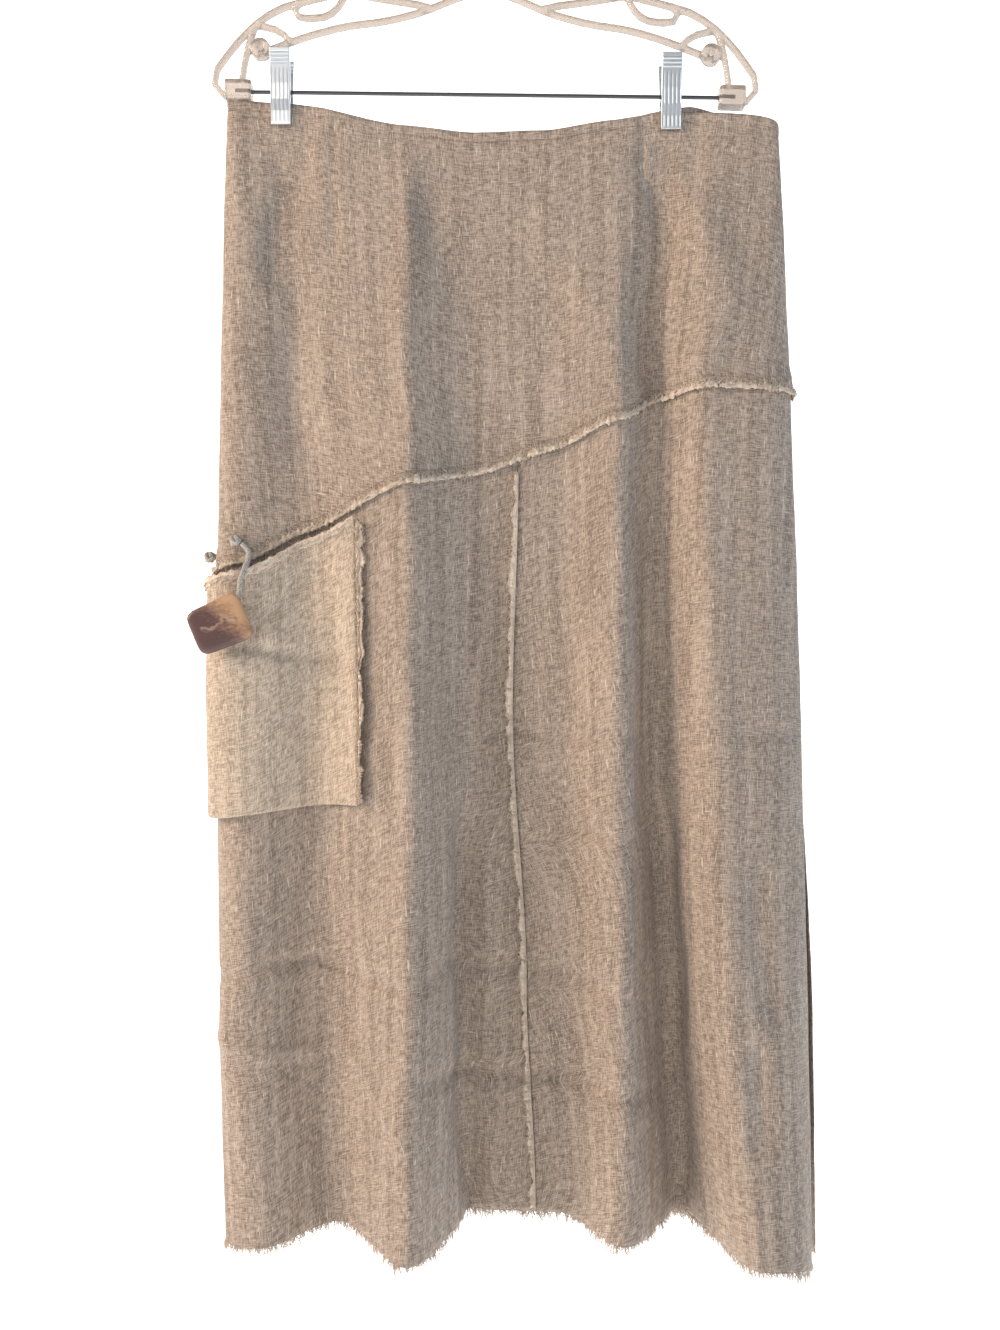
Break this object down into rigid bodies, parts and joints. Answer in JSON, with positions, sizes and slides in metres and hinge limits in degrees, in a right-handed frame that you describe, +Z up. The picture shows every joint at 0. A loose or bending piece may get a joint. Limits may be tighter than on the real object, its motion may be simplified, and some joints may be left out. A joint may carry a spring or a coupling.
{
  "type": "cargo skirt on clip hanger",
  "caption": "Long A-line linen skirt with raw frayed seams, side cargo pocket with toggle, side slit and fringed hem, held at the waist by a clear clip hanger.",
  "frame": {"origin": "inside of the top of the hanger's hook, where a rail bears on it", "axes": "+Z up, +X to the viewer's right across the front, front of the skirt towards -Y"},
  "size_m": [0.4956, 0.1139, 1.119],
  "materials": {
    "linen": "oatmeal slubby plain-weave linen, matt",
    "pocket_linen": "the same linen, a shade lighter",
    "frayed_linen": "loose raw threads of the linen",
    "cord": "grey-beige braided cotton cord",
    "toggle_wood": "polished two-tone carved wood",
    "clear_plastic": "clear plastic with a warm tint, glossy",
    "chrome": "bright chromed sheet and wire",
    "dark_steel": "dark drawn steel rod"
  },
  "bodies": {
    "root": {"yoke_front": "linen", "yoke_back": "linen", "lower_front_left": "linen", "lower_front_right": "linen", "lower_back": "linen", "pocket_pouch": "pocket_linen", "yoke_front_fray": "frayed_linen", "yoke_back_fray": "frayed_linen", "lower_front_left_hem_fringe": "frayed_linen", "lower_front_right_hem_fringe": "frayed_linen", "lower_back_hem_fringe": "frayed_linen", "centre_seam_allowance": "frayed_linen", "pocket_front_edge": "frayed_linen", "pocket_back_edge": "frayed_linen", "toggle": "toggle_wood", "toggle_cord": "cord", "cord_knot_front": "cord", "cord_knot_side": "cord", "hanger_frame": "clear_plastic", "hanger_hook": "chrome", "hanger_rod": "dark_steel", "clip_left_front_jaw": "chrome", "clip_left_back_jaw": "chrome", "clip_left_spring": "chrome", "clip_right_front_jaw": "chrome", "clip_right_back_jaw": "chrome", "clip_right_spring": "chrome"}
  },
  "joints": []
}
